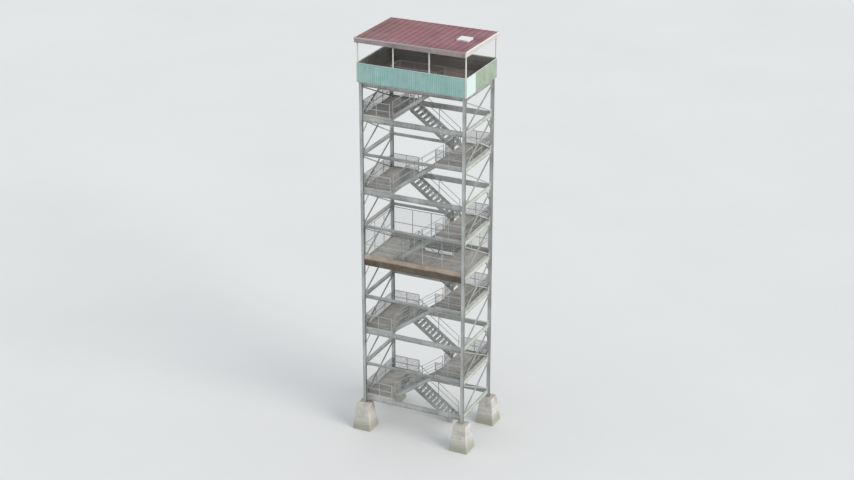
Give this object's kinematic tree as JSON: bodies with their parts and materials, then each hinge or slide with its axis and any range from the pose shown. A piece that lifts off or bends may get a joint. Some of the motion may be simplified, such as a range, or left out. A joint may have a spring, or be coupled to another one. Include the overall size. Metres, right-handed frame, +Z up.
{
  "type": "fire lookout tower",
  "caption": "Steel frame lookout tower with a zigzag stair, side landings, a middle platform and a roofed deck with a solid parapet.",
  "frame": {"origin": "middle of the plan at ground level, on the plane the concrete piers stand on", "axes": "+X to the right along the long side, -Y to the front, +Z up"},
  "size_m": [9.02, 5.972, 29.4013],
  "materials": {
    "concrete": "weathered concrete",
    "galvanised": "dull galvanised",
    "planks": "bleached planks",
    "edge_band": "faded red-brown paint",
    "deck_plate": "weathered boards",
    "parapet_paint": "pale green paint",
    "trim_paint": "off-white paint",
    "roof_timber": "weathered timber",
    "roof_paint": "dark red paint",
    "hatch_paint": "white paint"
  },
  "bodies": {
    "root": {"concrete_piers": "concrete", "base_plates": "galvanised", "column_front_left": "galvanised", "column_front_right": "galvanised", "column_back_left": "galvanised", "column_back_right": "galvanised", "front_beams": "galvanised", "back_beams": "galvanised", "left_beams": "galvanised", "right_beams": "galvanised", "deck_girders": "galvanised", "brace_gussets": "galvanised", "left_braces": "galvanised", "right_braces": "galvanised", "knee_braces": "galvanised", "landing_beams": "galvanised", "left_landings": "planks", "right_landings": "planks", "middle_platform_floor": "planks", "middle_platform_edge_bands": "edge_band", "middle_platform_screens": "galvanised", "left_landing_guards": "galvanised", "right_landing_guards": "galvanised", "stairwell_guards": "galvanised", "front_stringers": "galvanised", "back_stringers": "galvanised", "front_treads": "planks", "back_treads": "planks", "front_handrails": "galvanised", "back_handrails": "galvanised", "deck_joists": "galvanised", "deck_edge_plates": "galvanised", "deck_floor": "deck_plate", "parapet_panel_front": "parapet_paint", "parapet_panel_back": "parapet_paint", "parapet_panel_left": "parapet_paint", "parapet_panel_right": "parapet_paint", "parapet_caps": "trim_paint", "parapet_girts": "galvanised", "roof_posts": "trim_paint", "roof_beams": "roof_timber", "roof_rafters": "roof_timber", "roof_sheet": "roof_paint", "roof_fascias": "trim_paint", "roof_hatch_curb": "hatch_paint", "roof_hatch_lid": "hatch_paint"}
  },
  "joints": []
}
